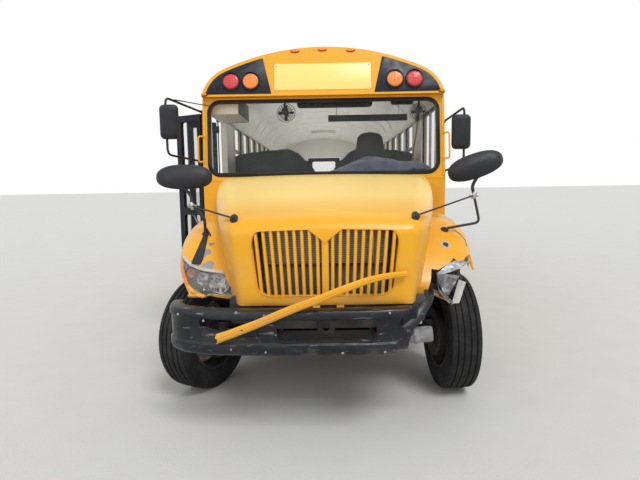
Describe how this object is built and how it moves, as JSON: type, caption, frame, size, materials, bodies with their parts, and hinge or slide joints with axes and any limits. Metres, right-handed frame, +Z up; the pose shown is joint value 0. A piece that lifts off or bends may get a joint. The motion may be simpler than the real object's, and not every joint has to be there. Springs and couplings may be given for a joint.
{
  "type": "school bus",
  "caption": "Full-size bonneted school bus with glazed passenger body, twin rear wheels, open entrance door and a torn front corner.",
  "frame": {"origin": "on the ground, on the bus's centre plane, halfway between the faces of the two bumpers", "axes": "+X to the bus's left side, +Y to the rear, +Z up"},
  "size_m": [2.9352, 11.6721, 3.1202],
  "materials": {
    "yellow_paint": "satin",
    "roof_paint": "satin",
    "black_paint": "satin",
    "chassis_black": "matte",
    "black_plastic": "matte",
    "floor_rubber": "matte",
    "seat_vinyl": "satin",
    "clear_glass": "gloss",
    "window_glass": "gloss",
    "lamp_glass": "gloss",
    "lamp_red": "gloss",
    "tyre": "matte",
    "rim": "satin",
    "steel": "satin",
    "cast_iron": "matte",
    "radiator": "matte"
  },
  "bodies": {
    "bus": {"barrier_left": "seat_vinyl", "barrier_right": "seat_vinyl", "benches_left": "seat_vinyl", "benches_right": "seat_vinyl", "body_side_left": "yellow_paint", "body_side_right": "yellow_paint", "broken_bar": "yellow_paint", "chassis_frame": "chassis_black", "crossview_left": "black_plastic", "crossview_right": "black_plastic", "dash": "black_plastic", "door_hinges": "black_paint", "driver_seat": "seat_vinyl", "engine": "cast_iron", "entrance_steps": "floor_rubber", "exhaust": "steel", "floor_deck": "floor_rubber", "front_axle": "cast_iron", "front_bumper": "black_paint", "front_cap": "yellow_paint", "front_wall": "yellow_paint", "fuel_tank": "chassis_black", "grille": "yellow_paint", "headlamp_right": "lamp_glass", "hood": "yellow_paint", "mirror_left": "black_plastic", "mirror_right": "black_plastic", "radiator": "radiator", "rear_axle": "cast_iron", "rear_bumper": "black_paint", "rear_door_hinges": "black_paint", "rear_glass": "window_glass", "rear_wall": "yellow_paint", "roof": "roof_paint", "rub_rails_left": "black_paint", "rub_rails_right": "black_paint", "side_windows_left": "window_glass", "side_windows_right": "window_glass", "steering_wheel": "black_plastic", "stop_arm_bracket": "black_paint", "tow_eye": "chassis_black", "warning_lamps_front": "lamp_red", "warning_lamps_rear": "lamp_red", "windscreen": "clear_glass"},
    "steer_left": {"knuckle_left": "cast_iron"},
    "steer_right": {"knuckle_right": "cast_iron"},
    "wheel_front_left": {"rim_front_left": "rim", "tyre_front_left": "tyre"},
    "wheel_front_right": {"rim_front_right": "rim", "tyre_front_right": "tyre"},
    "wheels_rear_left": {"rims_rear_left": "rim", "tyres_rear_left": "tyre"},
    "wheels_rear_right": {"rims_rear_right": "rim", "tyres_rear_right": "tyre"},
    "door_front_leaf": {"door_leaf_front": "black_paint"},
    "door_rear_leaf": {"door_leaf_rear": "black_paint"},
    "rear_door": {"rear_door": "yellow_paint"},
    "hatch_front": {"roof_hatch_front": "roof_paint"},
    "hatch_rear": {"roof_hatch_rear": "roof_paint"},
    "stop_arm": {"stop_arm": "lamp_red"}
  },
  "joints": [
    {"name": "steering_left", "type": "hinge", "parent": "bus", "child": "steer_left", "pos_m": [0.87, -4.78, 0.465], "axis": [0, 0, 1], "range_deg": [-38, 32]},
    {"name": "steering_right", "type": "hinge", "parent": "bus", "child": "steer_right", "pos_m": [-0.87, -4.78, 0.465], "axis": [0, 0, 1], "range_deg": [-10, 60]},
    {"name": "spin_front_left", "type": "hinge", "parent": "steer_left", "child": "wheel_front_left", "pos_m": [0.87, -4.78, 0.465], "axis": [0.9986, 0.0523, 0], "continuous": true},
    {"name": "spin_front_right", "type": "hinge", "parent": "steer_right", "child": "wheel_front_right", "pos_m": [-0.87, -4.78, 0.465], "axis": [0.9063, -0.4226, 0], "continuous": true},
    {"name": "spin_rear_left", "type": "hinge", "parent": "bus", "child": "wheels_rear_left", "pos_m": [1.067, 2.23, 0.465], "axis": [1, 0, 0], "continuous": true},
    {"name": "spin_rear_right", "type": "hinge", "parent": "bus", "child": "wheels_rear_right", "pos_m": [-1.067, 2.23, 0.465], "axis": [1, 0, 0], "continuous": true},
    {"name": "entrance_front_leaf", "type": "hinge", "parent": "bus", "child": "door_front_leaf", "pos_m": [-1.251, -3.582, 1.4], "axis": [0, 0, 1], "range_deg": [-60, 30]},
    {"name": "entrance_rear_leaf", "type": "hinge", "parent": "bus", "child": "door_rear_leaf", "pos_m": [-1.251, -2.838, 1.4], "axis": [0, 0, 1], "range_deg": [-30, 60]},
    {"name": "rear_door_hinge", "type": "hinge", "parent": "bus", "child": "rear_door", "pos_m": [-0.47, 5.647, 1.7], "axis": [0, 0, 1], "range_deg": [0, 100]},
    {"name": "front_hatch_hinge", "type": "hinge", "parent": "bus", "child": "hatch_front", "pos_m": [0, -0.527, 3.1033], "axis": [1, 0, 0], "range_deg": [-80, 0]},
    {"name": "rear_hatch_hinge", "type": "hinge", "parent": "bus", "child": "hatch_rear", "pos_m": [0, 3.873, 3.1033], "axis": [1, 0, 0], "range_deg": [-80, 0]},
    {"name": "stop_arm_swing", "type": "hinge", "parent": "bus", "child": "stop_arm", "pos_m": [1.269, -3.48, 1.54], "axis": [0, 0, 1], "range_deg": [-90, 0]}
  ]
}
